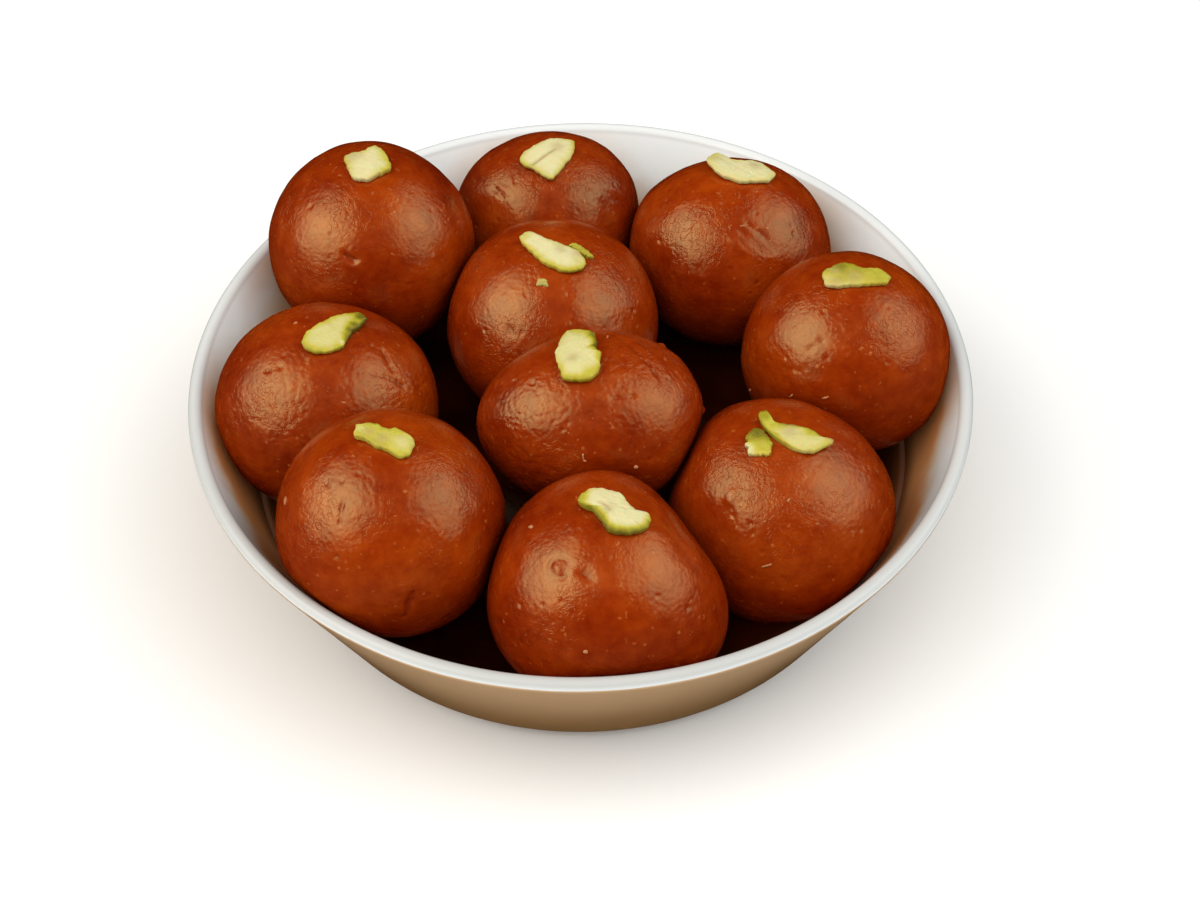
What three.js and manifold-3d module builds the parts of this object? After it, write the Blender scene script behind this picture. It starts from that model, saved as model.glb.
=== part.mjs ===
// Gulab jamun: ten syrup-soaked milk balls, each with a pistachio sliver, heaped in a
// shallow round bowl over a pool of dark syrup.
// Millimetres, +Z up, origin at the middle of the bowl's foot. Bearings are degrees
// from +X towards +Y, lifts are degrees above the horizontal.

import * as THREE from 'three';
import { mergeVertices } from 'three/addons/utils/BufferGeometryUtils.js';
import Module from 'manifold-3d';

const wasm = await Module();
wasm.setup();

// ---- driving dimensions ----------------------------------------------------------

const GAP = 0.3; // clearance between pieces that touch

const BOWL = {
  height: 40,
  rimRadius: 75, // outer radius at the lip
  cornerRadius: 56.6, // where the wall's outer line would meet the table
  wall: 2.8, // thickness, measured level
  floor: 4, // height of the inner floor
  lip: 1.4, // rounding of the lip
  outerFillet: 7, // rounding between wall and foot, outside
  innerFillet: 9, // rounding between wall and floor, inside
  footRadius: 48,
  footWidth: 4,
  recess: 1.2, // hollow under the foot ring
  segments: 60,
};

const SYRUP_LEVEL = 20; // surface of the pool above the table

// Eight balls stand round the wall and two fill the middle. bearing, out and up place
// the centre; half holds the half-sizes along X, Y and Z; lumps are bearing, lift and
// height of each swelling (or, below zero, flat).
const BALLS = [
  { bearing: 144, out: 52.5, up: 43.9, half: [20.7, 20.6, 20.6], lumps: [[45, 33, -0.6], [100, 40, 0.5]] },
  { bearing: 99.5, out: 51.7, up: 34.2, half: [19.6, 17.3, 17.3], lumps: [[42, 31, 0.9]] },
  { bearing: 53.5, out: 49.3, up: 35.3, half: [20.7, 19.5, 19.5], lumps: [[161, 17, 0.9], [117, 39, -0.6]] },
  { bearing: 8, out: 51.4, up: 39.5, half: [20.1, 19.8, 19.8], lumps: [[-34, -27, 0.8], [176, 30, -0.5]] },
  { bearing: 110.5, out: 17, up: 37.1, half: [21.0, 20.6, 20.6], lumps: [[142, 29, 0.8], [50, 35, 0.5]] },
  { bearing: 278, out: 17, up: 44.7, half: [21.5, 16.7, 16.7], lumps: [[40, 30, 1.2], [148, 26, -1.2]] },
  { bearing: 187, out: 48.6, up: 35.9, half: [21.4, 20.2, 20.2], lumps: [[195, -10, 0.8], [80, 45, -0.3]] },
  { bearing: 231, out: 52, up: 42.3, half: [21.0, 20.9, 20.9], lumps: [[225, -25, 0.7], [34, 27, -0.6]] },
  { bearing: 276.5, out: 51.3, up: 36.6, half: [21.7, 21.1, 21.1], lumps: [[30, 25, -2.9], [-21, -18, 2.0], [92, 43, 1.0]] },
  { bearing: 323.5, out: 47, up: 32.4, half: [21.0, 21.1, 21.1], lumps: [[136, 33, 1.0], [0, 0, 0.6]] },
];
const LUMP_SPREAD = 0.55; // radians a lump's bell curve spreads from its top
const UNEVEN = 0.22; // height of the slow waviness of every ball
const WAVES = [3, 3.7, 3.3]; // radians the waviness turns through along X, Y and Z
const WAVE_SHIFT = 1.7; // radians by which it differs from one ball to the next
const CONTACT_SOFTNESS = 1.6; // how far a pressed flat rounds into the ball beside it
const GRAZING = 0.1; // cosine under which a contact lies too far round to matter

// Pistachio slivers: ball they lie on, bearing and lift of their middle, thickness, how
// far their left tip curls up, and their outline seen from above, clockwise round the
// middle, x to the right and y away.
const SLIVERS = [
  {
    ball: 1, bearing: 26.1, lift: 88.1, thick: 1.6, curl: 0,
    outline: [[-4.5, 1.3], [-3.7, 2.5], [-0.8, 3.5], [0.9, 5.2], [2.5, 4.1], [4.5, 0.1], [4.3, -1.4],
      [0.9, -4.3], [-1, -4.5], [-2.5, -3.8]],
  },
  {
    ball: 2, bearing: 285.5, lift: 82.5, thick: 1.4, curl: 0.3,
    outline: [[-5.3, -1.4], [-4.6, 0.5], [-1.5, 3.6], [0.5, 4.7], [2.8, 5], [5.3, 4.6], [5.4, 2.3], [4.6, -0.4],
      [1.3, -5.9], [-1.5, -4.7], [-2.7, -3.4], [-4.6, -2.9]],
  },
  {
    ball: 3, bearing: 73.4, lift: 79.9, thick: 1.3, curl: 1.4,
    outline: [[-5.8, 0.7], [-5.2, 3.3], [-3.8, 5.4], [-2.4, 4.4], [-1.4, 3], [0.6, 2.8], [2.8, 3.3], [4.7, 2.6],
      [7.5, -0.3], [6.7, -2.7], [4.8, -3.7], [0.4, -4.5], [-3.5, -2.7], [-5.2, -0.7]],
  },
  {
    ball: 4, bearing: 36.8, lift: 88.5, thick: 1.3, curl: 0.2,
    outline: [[-6, 0], [-5.2, 1.3], [-3.3, 2.7], [-1.6, 3.2], [1.9, 1.6], [4.5, 1.8], [6.1, 0.9], [6.9, 0],
      [6.1, -1.5], [3.7, -2.4], [-2.6, -3.2], [-5.2, -3], [-5.9, -1.3]],
  },
  {
    ball: 5, bearing: 296.1, lift: 87.9, thick: 1.4, curl: 0.3,
    outline: [[-6.3, 3.7], [-5.7, 4.9], [-4.4, 5.2], [0, 2.3], [4.4, 0.5], [5.8, -0.8], [6.5, -2.1], [6, -4],
      [3.9, -4.9], [1.7, -4.8], [-0.7, -3.7], [-2.2, -2.5], [-5.7, 2]],
  },
  {
    ball: 5, bearing: 7.5, lift: 73.9, thick: 1, curl: 0,
    outline: [[-2.2, 0.3], [-1.6, 1.2], [-0.4, 0.9], [1.3, -0.1], [2.6, -1.4], [1.2, -1.5]],
  },
  {
    ball: 6, bearing: 170.6, lift: 85.3, thick: 1.7, curl: 0,
    outline: [[-4.5, -0.1], [-3, 6.2], [-0.6, 6.5], [1.5, 5.8], [2.5, 4.3], [2.8, 2], [2.3, 1], [3.5, -0.6],
      [3.5, -3.1], [3, -5.3], [1.6, -6.5], [-1.2, -6.5], [-3, -6]],
  },
  {
    ball: 7, bearing: 3.7, lift: 80.9, thick: 1.4, curl: 0.3,
    outline: [[-5.9, -3.4], [-5.1, -0.8], [-0.8, 3.7], [2.2, 5.7], [4.1, 6.3], [5.4, 4.8], [4.5, 2.4], [3, 0.4],
      [1.8, -3.3], [-0.1, -4.7], [-2.6, -5.6], [-4.7, -5]],
  },
  {
    ball: 8, bearing: 78.1, lift: 87.1, thick: 1.4, curl: 0.3,
    outline: [[-5.2, 1.3], [-4.9, 2.8], [-3.5, 3.4], [-1.6, 3.2], [-0.1, 2.1], [2.1, 1.9], [4, 1.1],
      [5.2, -0.2], [5.4, -2], [4.5, -3.9], [3, -4.3], [1.3, -3.1], [-1.2, -2], [-3.5, -0.2], [-4.8, 0.2]],
  },
  {
    ball: 9, bearing: 8.5, lift: 87.3, thick: 1.8, curl: 0.6,
    outline: [[-6.1, 1.4], [-5.4, 2.9], [-3.6, 4.4], [-1.4, 4.5], [0.8, 3.8], [3.9, 0.2], [6.2, -0.1],
      [6.6, -1.6], [5.6, -3.4], [3.1, -4.6], [0.3, -4.8], [-1.1, -3.8], [-3.6, -0.2], [-5.3, 0.6]],
  },
  {
    ball: 10, bearing: 203.8, lift: 86, thick: 1.5, curl: 0.9,
    outline: [[-3.4, 3.7], [-2.9, 5.1], [-2.1, 5.5], [-0.7, 3], [1, 2.3], [3.3, 2.2], [5.8, 1.6], [7.9, 0.2],
      [10.4, -0.3], [7, -2.9], [4.7, -3.5], [2.4, -2.8], [0.4, -1.5], [-2.6, 1.5]],
  },
  {
    ball: 10, bearing: 197.4, lift: 75, thick: 1.2, curl: 0,
    outline: [[-2.3, -0.3], [-1.6, 0.4], [-2.1, 1.3], [-0.5, 3.1], [0.7, 2.7], [1.6, 1.7], [2.6, -0.5],
      [2.4, -2.2], [1.7, -2.9], [-0.6, -2.6], [-1.8, -2], [-1.5, -0.9]],
  },
];
const SLIVER_STIFFNESS = 0.35; // 0 hugs the ball, 1 stays straight
const SLIVER_EDGE = 0.4; // thickness at the edge, of the middle's thickness

const COLOURS = {
  bowl: { color: 0xd9d3c6, roughness: 0.3, metalness: 0 },
  jamun: { color: 0x9c3a0c, roughness: 0.35, metalness: 0 },
  pistachio: { color: 0xe3dd9a, roughness: 0.6, metalness: 0 },
  syrup: { color: 0x2a0a03, roughness: 0.08, metalness: 0 },
};

// ---- fineness --------------------------------------------------------------------

const FILLET_STEPS = 4; // facets round each rounding of the bowl
const POOL_FILLET_STEPS = 3; // facets round the pool's lower edge
const BALL_DETAIL = 5; // 720 facets on a ball
const DENT_DETAIL = 3; // 320 facets on each hollow the balls leave in the pool
const DENT_CLEARANCE = 0.65; // the gap, plus what the hollow's coarser facets cut off
const SLIVER_RINGS = 3;
const SLIVER_SIDES = 16;
const WALL_HALVINGS = 30; // halvings of the search for the wall
const WELD = 1e-4; // corners nearer than this are one

// ---- small helpers ---------------------------------------------------------------

const radians = THREE.MathUtils.degToRad;

function heading(bearing, lift) {
  const level = Math.cos(radians(lift));
  return new THREE.Vector3(
    level * Math.cos(radians(bearing)),
    level * Math.sin(radians(bearing)),
    Math.sin(radians(lift)),
  );
}

// Smaller of two lengths, with a rounded change-over no larger than either.
function softMin(a, b, softness) {
  const overlap = Math.max(softness - Math.abs(a - b), 0) / softness;
  return Math.min(a, b) - (overlap * overlap * softness) / 4;
}

// Points of an arc in the profile plane, from one angle to another, in degrees.
function arc(centreX, centreZ, radius, from, to, steps) {
  return Array.from({ length: steps + 1 }, (_, i) => {
    const angle = radians(from + ((to - from) * i) / steps);
    return new THREE.Vector2(centreX + radius * Math.cos(angle), centreZ + radius * Math.sin(angle));
  });
}

// Welds a geometry to shared positions and drops triangles that have collapsed.
function weld(geometry) {
  geometry.deleteAttribute('normal');
  geometry.deleteAttribute('uv');
  const welded = mergeVertices(geometry, WELD);
  const corners = welded.index.array;
  const kept = [];
  for (let i = 0; i < corners.length; i += 3) {
    const [a, b, c] = [corners[i], corners[i + 1], corners[i + 2]];
    if (a !== b && b !== c && c !== a) kept.push(a, b, c);
  }
  welded.setIndex(kept);
  return welded;
}

// Turns a profile of radius and height round the Z axis.
function turned(profile, segments) {
  return weld(new THREE.LatheGeometry(profile, segments).rotateX(Math.PI / 2));
}

function toSolid(geometry) {
  return new wasm.Manifold(new wasm.Mesh({
    numProp: 3,
    vertProperties: Float32Array.from(geometry.getAttribute('position').array),
    triVerts: Uint32Array.from(geometry.index.array),
  }));
}

function toGeometry(solid) {
  const mesh = solid.getMesh();
  const geometry = new THREE.BufferGeometry();
  geometry.setAttribute('position', new THREE.BufferAttribute(mesh.vertProperties, 3));
  geometry.setIndex(new THREE.BufferAttribute(mesh.triVerts, 1));
  return geometry;
}

function piece(name, geometry, look) {
  geometry.computeVertexNormals();
  const mesh = new THREE.Mesh(geometry, new THREE.MeshStandardMaterial(look));
  mesh.name = name;
  return mesh;
}

// ---- bowl ------------------------------------------------------------------------

const WALL_SLOPE = (BOWL.rimRadius - BOWL.cornerRadius) / (BOWL.height - BOWL.lip); // run per rise
const WALL_LEAN = THREE.MathUtils.radToDeg(Math.atan(WALL_SLOPE)); // degrees off the vertical

function outerRadius(z) {
  return BOWL.cornerRadius + WALL_SLOPE * z;
}

function innerRadius(z) {
  return outerRadius(z) - BOWL.wall;
}

// Centre of a fillet of the given radius between the leaning wall line, seen from its
// inner side, and a level line at height z.
function filletCentre(radiusAtLevel, z, fillet) {
  const halfCorner = radians((90 + WALL_LEAN) / 2);
  return [radiusAtLevel - fillet / Math.tan(halfCorner), z + fillet];
}

function bowlProfile() {
  const { height, lip, footRadius, footWidth, recess, floor, outerFillet, innerFillet } = BOWL;
  const footInner = footRadius - footWidth;
  const outer = filletCentre(outerRadius(recess), recess, outerFillet);
  const inner = filletCentre(innerRadius(floor), floor, innerFillet);
  const lipZ = height - lip;
  return [
    new THREE.Vector2(0, recess),
    new THREE.Vector2(footInner - recess, recess),
    new THREE.Vector2(footInner, 0),
    new THREE.Vector2(footRadius, 0),
    new THREE.Vector2(footRadius + recess, recess),
    ...arc(outer[0], outer[1], outerFillet, -90, -WALL_LEAN, FILLET_STEPS),
    ...arc(outerRadius(lipZ) - lip, lipZ, lip, -WALL_LEAN, 90, FILLET_STEPS),
    ...arc(innerRadius(lipZ) + lip, lipZ, lip, 90, 180 - WALL_LEAN, FILLET_STEPS),
    ...arc(inner[0], inner[1], innerFillet, -WALL_LEAN, -90, FILLET_STEPS),
    new THREE.Vector2(0, floor),
  ];
}

// ---- balls -----------------------------------------------------------------------

const balls = BALLS.map((ball, index) => ({
  ...ball,
  centre: heading(ball.bearing, 0).multiplyScalar(ball.out).setZ(ball.up),
  phase: WAVE_SHIFT * index,
  contacts: [],
}));

// Distance from a free ball's centre to its skin.
function freeReach(ball, direction) {
  const [x, y, z] = ball.half;
  let reach = 1 / Math.hypot(direction.x / x, direction.y / y, direction.z / z);
  for (const [bearing, lift, height] of ball.lumps) {
    const away = direction.angleTo(heading(bearing, lift)) / LUMP_SPREAD;
    reach += height * Math.exp(-away * away);
  }
  const wave = Math.sin(WAVES[0] * direction.x + ball.phase)
    + Math.sin(WAVES[1] * direction.y - 2 * ball.phase)
    + Math.sin(WAVES[2] * direction.z + 3 * ball.phase);
  return reach + (UNEVEN * wave) / 2;
}

// Where two balls press together, a flat lies between them, shared by their sizes.
for (const ball of balls) {
  for (const other of balls) {
    if (other === ball) continue;
    const normal = other.centre.clone().sub(ball.centre);
    const distance = normal.length();
    normal.divideScalar(distance);
    const own = freeReach(ball, normal);
    const share = own / (own + freeReach(other, normal.clone().negate()));
    ball.contacts.push({ normal, distance: distance * share - GAP / 2 });
  }
}

// Distance from a point inside the bowl to its wall or floor, with the gap left clear.
function wallReach(centre, direction) {
  const facetSag = BOWL.rimRadius * (1 - Math.cos(Math.PI / BOWL.segments));
  let near = 0;
  let far = BOWL.rimRadius;
  for (let i = 0; i < WALL_HALVINGS; i++) {
    const middle = (near + far) / 2;
    const point = direction.clone().multiplyScalar(middle).add(centre);
    const wall = innerRadius(point.z) - GAP - facetSag;
    const inside = Math.hypot(point.x, point.y) < wall && point.z > BOWL.floor + GAP;
    if (inside) near = middle;
    else far = middle;
  }
  return near;
}

// Distance from a ball's centre to its skin as it lies, pressed on its neighbours.
function restingReach(ball, direction) {
  let reach = softMin(freeReach(ball, direction), wallReach(ball.centre, direction), CONTACT_SOFTNESS);
  for (const { normal, distance } of ball.contacts) {
    const facing = direction.dot(normal);
    if (facing > GRAZING) reach = softMin(reach, distance / facing, CONTACT_SOFTNESS);
  }
  return reach;
}

// A ball as a faceted skin; detail sets the facets, reachOf gives the skin's distance.
function ballSkin(ball, detail, reachOf) {
  const skin = weld(new THREE.IcosahedronGeometry(1, detail));
  const position = skin.getAttribute('position');
  const direction = new THREE.Vector3();
  for (let i = 0; i < position.count; i++) {
    direction.fromBufferAttribute(position, i).normalize();
    direction.multiplyScalar(reachOf(ball, direction));
    position.setXYZ(i, direction.x, direction.y, direction.z);
  }
  return skin;
}

function jamunMesh(ball, index) {
  const mesh = piece(`gulab_jamun_${String(index + 1).padStart(2, '0')}`,
    ballSkin(ball, BALL_DETAIL, restingReach), COLOURS.jamun);
  mesh.position.copy(ball.centre);
  return mesh;
}

// ---- syrup -----------------------------------------------------------------------

// The pool follows the bowl's inside. Its rim is drawn in by the gap twice, because its
// fillet is coarser than the bowl's and would otherwise come too near the wall.
function syrupGeometry() {
  const { floor, innerFillet, segments } = BOWL;
  const inner = filletCentre(innerRadius(floor), floor, innerFillet);
  const profile = [
    new THREE.Vector2(0, floor + GAP),
    ...arc(inner[0] - GAP, inner[1] + GAP, innerFillet, -90, -WALL_LEAN, POOL_FILLET_STEPS),
    new THREE.Vector2(innerRadius(SYRUP_LEVEL) - 2 * GAP, SYRUP_LEVEL),
    new THREE.Vector2(0, SYRUP_LEVEL),
  ];
  let pool = toSolid(turned(profile, segments));
  for (const ball of balls) {
    const dent = ballSkin(ball, DENT_DETAIL, (b, d) => freeReach(b, d) + DENT_CLEARANCE);
    dent.translate(ball.centre.x, ball.centre.y, ball.centre.z);
    pool = pool.subtract(toSolid(dent));
  }
  return toGeometry(pool);
}

// ---- pistachio -------------------------------------------------------------------

function sliverGeometry(sliver) {
  const ball = balls[sliver.ball - 1];
  const up = heading(sliver.bearing, sliver.lift);
  const right = new THREE.Vector3(0, 1, 0).cross(up).normalize();
  const back = up.clone().cross(right);
  const radius = restingReach(ball, up);
  const outline = new THREE.CatmullRomCurve3(
    sliver.outline.map(([x, y]) => new THREE.Vector3(x, y, 0)), true, 'catmullrom',
  ).getSpacedPoints(SLIVER_SIDES);
  const tip = Math.min(...outline.map(({ x }) => x)); // x of the left tip

  // A point of the sliver, part of the way from its middle to a point of its outline.
  const place = (edge, part, layer) => {
    const x = edge.x * part;
    const y = edge.y * part;
    const direction = up.clone().multiplyScalar(radius)
      .addScaledVector(right, x).addScaledVector(back, y).normalize();
    const straight = (SLIVER_STIFFNESS * (x * x + y * y)) / (2 * radius);
    const curl = sliver.curl * Math.max(0, x / tip) ** 2;
    const dome = 1 - (1 - SLIVER_EDGE) * part ** 3;
    const lift = GAP + straight + curl + layer * sliver.thick * dome;
    return direction.clone().multiplyScalar(restingReach(ball, direction) + lift);
  };

  const points = [];
  const corners = [];
  for (const layer of [0, 1]) {
    points.push(place(outline[0], 0, layer));
    for (let ring = 1; ring <= SLIVER_RINGS; ring++) {
      for (let side = 0; side < SLIVER_SIDES; side++) {
        points.push(place(outline[side], ring / SLIVER_RINGS, layer));
      }
    }
  }
  const layerSize = 1 + SLIVER_RINGS * SLIVER_SIDES;
  const at = (layer, ring, side) => (
    layer * layerSize + (ring === 0 ? 0 : 1 + (ring - 1) * SLIVER_SIDES + (side % SLIVER_SIDES))
  );
  const add = (a, b, c, flip) => corners.push(a, flip ? b : c, flip ? c : b);
  for (let side = 0; side < SLIVER_SIDES; side++) {
    for (const layer of [0, 1]) {
      const under = layer === 0;
      add(at(layer, 0, 0), at(layer, 1, side), at(layer, 1, side + 1), under);
      for (let ring = 1; ring < SLIVER_RINGS; ring++) {
        add(at(layer, ring, side), at(layer, ring + 1, side), at(layer, ring + 1, side + 1), under);
        add(at(layer, ring, side), at(layer, ring + 1, side + 1), at(layer, ring, side + 1), under);
      }
    }
    add(at(0, SLIVER_RINGS, side), at(0, SLIVER_RINGS, side + 1), at(1, SLIVER_RINGS, side + 1), false);
    add(at(0, SLIVER_RINGS, side), at(1, SLIVER_RINGS, side + 1), at(1, SLIVER_RINGS, side), false);
  }
  const geometry = new THREE.BufferGeometry().setFromPoints(points);
  geometry.setIndex(corners);
  return geometry;
}

// A ball's first sliver carries its number; a second, smaller one is its chip.
function sliverMesh(sliver, index) {
  const first = SLIVERS.findIndex(({ ball }) => ball === sliver.ball) === index;
  const name = `pistachio_${String(sliver.ball).padStart(2, '0')}${first ? '' : '_chip'}`;
  const mesh = piece(name, sliverGeometry(sliver), COLOURS.pistachio);
  mesh.position.copy(balls[sliver.ball - 1].centre);
  return mesh;
}

// ---- the whole -------------------------------------------------------------------

const gulabJamun = new THREE.Group();
gulabJamun.add(piece('bowl', turned(bowlProfile(), BOWL.segments), COLOURS.bowl));
gulabJamun.add(piece('syrup', syrupGeometry(), COLOURS.syrup));
gulabJamun.add(...balls.map(jamunMesh));
gulabJamun.add(...SLIVERS.map(sliverMesh));

export default gulabJamun;
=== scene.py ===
"""Gulab jamun: fried milk balls soaked in syrup, heaped in a glazed bowl.

Lengths are in millimetres and angles in degrees, unless a name says otherwise. They
become metres where a mesh is made. A bearing runs from +X towards +Y, and a lift is the
angle above the horizontal.
"""

import math

import bmesh
import bpy
import numpy as np
from mathutils import Matrix, Vector
from mathutils.bvhtree import BVHTree


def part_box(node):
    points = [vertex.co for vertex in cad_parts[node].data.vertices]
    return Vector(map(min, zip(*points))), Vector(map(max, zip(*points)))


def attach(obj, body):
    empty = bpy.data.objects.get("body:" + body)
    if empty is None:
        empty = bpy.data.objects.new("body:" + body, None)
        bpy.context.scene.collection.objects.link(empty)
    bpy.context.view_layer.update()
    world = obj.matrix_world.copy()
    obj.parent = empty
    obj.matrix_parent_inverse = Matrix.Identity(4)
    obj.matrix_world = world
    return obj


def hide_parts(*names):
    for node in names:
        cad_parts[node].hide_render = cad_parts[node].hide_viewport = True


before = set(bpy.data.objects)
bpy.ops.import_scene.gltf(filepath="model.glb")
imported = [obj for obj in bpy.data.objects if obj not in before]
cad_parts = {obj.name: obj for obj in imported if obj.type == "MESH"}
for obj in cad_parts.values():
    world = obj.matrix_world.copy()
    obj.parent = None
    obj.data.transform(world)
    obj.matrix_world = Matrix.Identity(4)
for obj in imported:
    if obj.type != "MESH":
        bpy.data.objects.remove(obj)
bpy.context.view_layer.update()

MM = 0.001  # metres in a millimetre


# ---- camera, lamps and floor ----

CAMERA = {"lens": 73.2, "place": (14.2, -326.8, 374.9), "down": 47.5, "turn": -1.86, "tilt": -0.58}
LAMPS = {
    "window_left": dict(
        towards=(-0.76, -0.20, 0.62), away=900, size=(1300, 1150), spread=80,
        radiance=0.60, colour=(1.0, 0.97, 0.90), shows=True,
    ),
    "window_right": dict(
        towards=(0.80, 0.0, 0.60), away=900, size=(1300, 1200), spread=80,
        radiance=0.38, colour=(0.90, 0.97, 1.0), shows=True,
    ),
    "ceiling": dict(
        towards=(0.10, -0.30, 0.95), away=1200, size=(1700, 1300), spread=180,
        radiance=2.0, colour=(1.0, 1.0, 0.98), shows=False,
    ),
}
ROOM_LIGHT = (0.245, 0.245, 0.245)  # light from all round, as radiance
FLOOR_SIZE = 6000


def metres(point):
    return Vector(point) * MM


def placed(name, data):
    """A new object in the scene."""
    thing = bpy.data.objects.new(name, data)
    bpy.context.scene.collection.objects.link(thing)
    return thing


def add_camera():
    """The camera, at its place: it looks down, is turned to the right, and is tilted."""
    turn, tilt = math.radians(CAMERA["turn"]), math.radians(CAMERA["tilt"])
    ahead = Vector(heading(90 - CAMERA["turn"], -CAMERA["down"]))
    level = Vector((math.cos(turn), -math.sin(turn), 0))
    steep = level.cross(ahead)
    across = math.cos(tilt) * level + math.sin(tilt) * steep
    upward = -math.sin(tilt) * level + math.cos(tilt) * steep
    pose = Matrix((across, upward, -ahead)).transposed().to_4x4()
    pose.translation = metres(CAMERA["place"])
    data = bpy.data.cameras.new("table_camera")
    data.lens = CAMERA["lens"]
    data.clip_start = 0.01
    camera = placed("table_camera", data)
    camera.matrix_world = pose
    bpy.context.scene.camera = camera


def add_lamp(name, towards, away, size, spread, radiance, colour, shows):
    """An area lamp facing the bowl. A small spread, in degrees, dims it towards its edges.

    One that doesn't show stays out of reflections.
    """
    data = bpy.data.lights.new(name, "AREA")
    data.shape = "RECTANGLE"
    data.size, data.size_y = (length * MM for length in size)
    data.spread = math.radians(spread)
    data.energy = radiance * math.pi * data.size * data.size_y
    data.color = colour
    direction = Vector(towards).normalized()
    lamp = placed(name, data)
    lamp.matrix_world = direction.to_track_quat("Z", "Y").to_matrix().to_4x4()
    lamp.matrix_world.translation = metres(direction * away)
    lamp.visible_camera = False
    lamp.visible_glossy = shows


def add_room_light():
    world = bpy.data.worlds.new("soft_room")
    world.use_nodes = True
    backdrop = world.node_tree.nodes["Background"]
    backdrop.inputs["Color"].default_value = (*ROOM_LIGHT, 1)
    backdrop.inputs["Strength"].default_value = 1
    bpy.context.scene.world = world
    world.cycles_visibility.glossy = False


# ---- wiring node trees ----


class Wire:
    """A socket that sums can be done on; the node tree works them out."""

    def __init__(self, bench, socket):
        self.bench = bench
        self.socket = socket

    def __add__(self, other):
        return self.bench.maths("ADD", self, other)

    def __sub__(self, other):
        return self.bench.maths("SUBTRACT", self, other)

    def __rsub__(self, other):
        return self.bench.maths("SUBTRACT", other, self)

    def __mul__(self, other):
        return self.bench.maths("MULTIPLY", self, other)

    def __neg__(self):
        return self.bench.maths("MULTIPLY", self, -1)

    __radd__ = __add__
    __rmul__ = __mul__


class Bench:
    """A node tree being wired."""

    def __init__(self, tree):
        self.tree = tree

    def node(self, kind, settings=None, values=None, out=0):
        """Adds a node: its settings first, then the values or links of its sockets."""
        made = self.tree.nodes.new(kind)
        for name, setting in (settings or {}).items():
            setattr(made, name, setting)
        for key, value in (values or {}).items():
            self.feed(made.inputs[key], value)
        return Wire(self, made.outputs[out])

    def feed(self, socket, value):
        if isinstance(value, Wire):
            self.tree.links.new(value.socket, socket)
        else:
            socket.default_value = value

    def maths(self, operation, *terms):
        settings = {"operation": operation}
        return self.node("ShaderNodeMath", settings, dict(enumerate(terms)))

    def vector(self, operation, *terms):
        settings = {"operation": operation}
        return self.node("ShaderNodeVectorMath", settings, dict(enumerate(terms)))

    def scaled(self, place, factor):
        values = {0: place, "Scale": factor}
        return self.node("ShaderNodeVectorMath", {"operation": "SCALE"}, values)

    def smooth(self, value, low, high):
        """0 below low, 1 above high, and a soft step between."""
        settings = {"interpolation_type": "SMOOTHSTEP"}
        values = {"Value": value, "From Min": low, "From Max": high}
        return self.node("ShaderNodeMapRange", settings, values)

    def noise(self, place, scale, detail=2, roughness=0.5, out="Fac"):
        """Noise around 0.5. Its scale is per millimetre, as in all patterns here."""
        values = {"Vector": place, "Scale": scale, "Detail": detail, "Roughness": roughness}
        return self.node("ShaderNodeTexNoise", None, values, out)

    def ripple(self, place, scale, detail=2, roughness=0.5):
        """Noise to either side of 0."""
        return self.noise(place, scale, detail, roughness) - 0.5

    def strayed(self, place, to, scale, distance):
        """The place moved by up to the distance, as noise at another place says."""
        stray = self.noise(to, scale, 1, out="Color")
        return self.vector("ADD", place, self.scaled(stray, distance))

    def creases(self, place, stray, scale, roughness, width):
        """1 along wandering lines, and 0 away from them."""
        wandering = self.strayed(place, place, *stray)
        folds = self.maths("ABSOLUTE", self.ripple(wandering, scale, 2, roughness))
        return 1 - self.smooth(folds, 0.0, width)

    def cells(self, place, scale, feature="F1"):
        """Distance to the nearest of points strewn at random."""
        values = {"Vector": place, "Scale": scale}
        return self.node("ShaderNodeTexVoronoi", {"feature": feature}, values, "Distance")

    def blend(self, factor, first, second):
        """Colour between first and second."""
        pair = {6: self.colour(first), 7: self.colour(second), 0: factor}
        return self.node("ShaderNodeMix", {"data_type": "RGBA"}, pair, 2)

    def colour(self, value):
        return value if isinstance(value, Wire) else (*value, 1)

    def ramp(self, value, stops):
        """Colour between those of the stops, each with its position and its colour."""
        made = self.node("ShaderNodeValToRGB", None, {"Fac": value})
        elements = made.socket.node.color_ramp.elements
        while len(elements) < len(stops):
            elements.new(0)
        for element, (position, colour) in zip(elements, stops):
            element.position = position
            element.color = (*colour, 1)
        return made

    def place_in_mm(self):
        return self.scaled(self.node("ShaderNodeTexCoord", out="Object"), 1 / MM)

    def part_of(self, place, axis):
        return self.node("ShaderNodeSeparateXYZ", None, {0: place}, axis)

    def attribute(self, name):
        return self.node("ShaderNodeAttribute", {"attribute_name": name}, out="Fac")

    def bump(self, height_in_mm):
        return self.node("ShaderNodeBump", None, {"Height": height_in_mm, "Distance": MM})


def material(name, paint, **fixed):
    """A material: fixed values on the shader's own sockets, then what paint wires up."""
    made = bpy.data.materials.new(name)
    made.use_nodes = True
    shader = made.node_tree.nodes["Principled BSDF"]
    for socket, value in fixed.items():
        shader.inputs[socket.replace("_", " ")].default_value = value
    bench = Bench(made.node_tree)
    for socket, value in paint(bench).items():
        bench.feed(shader.inputs[socket], value)
    return made


# ---- sizes ----

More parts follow.
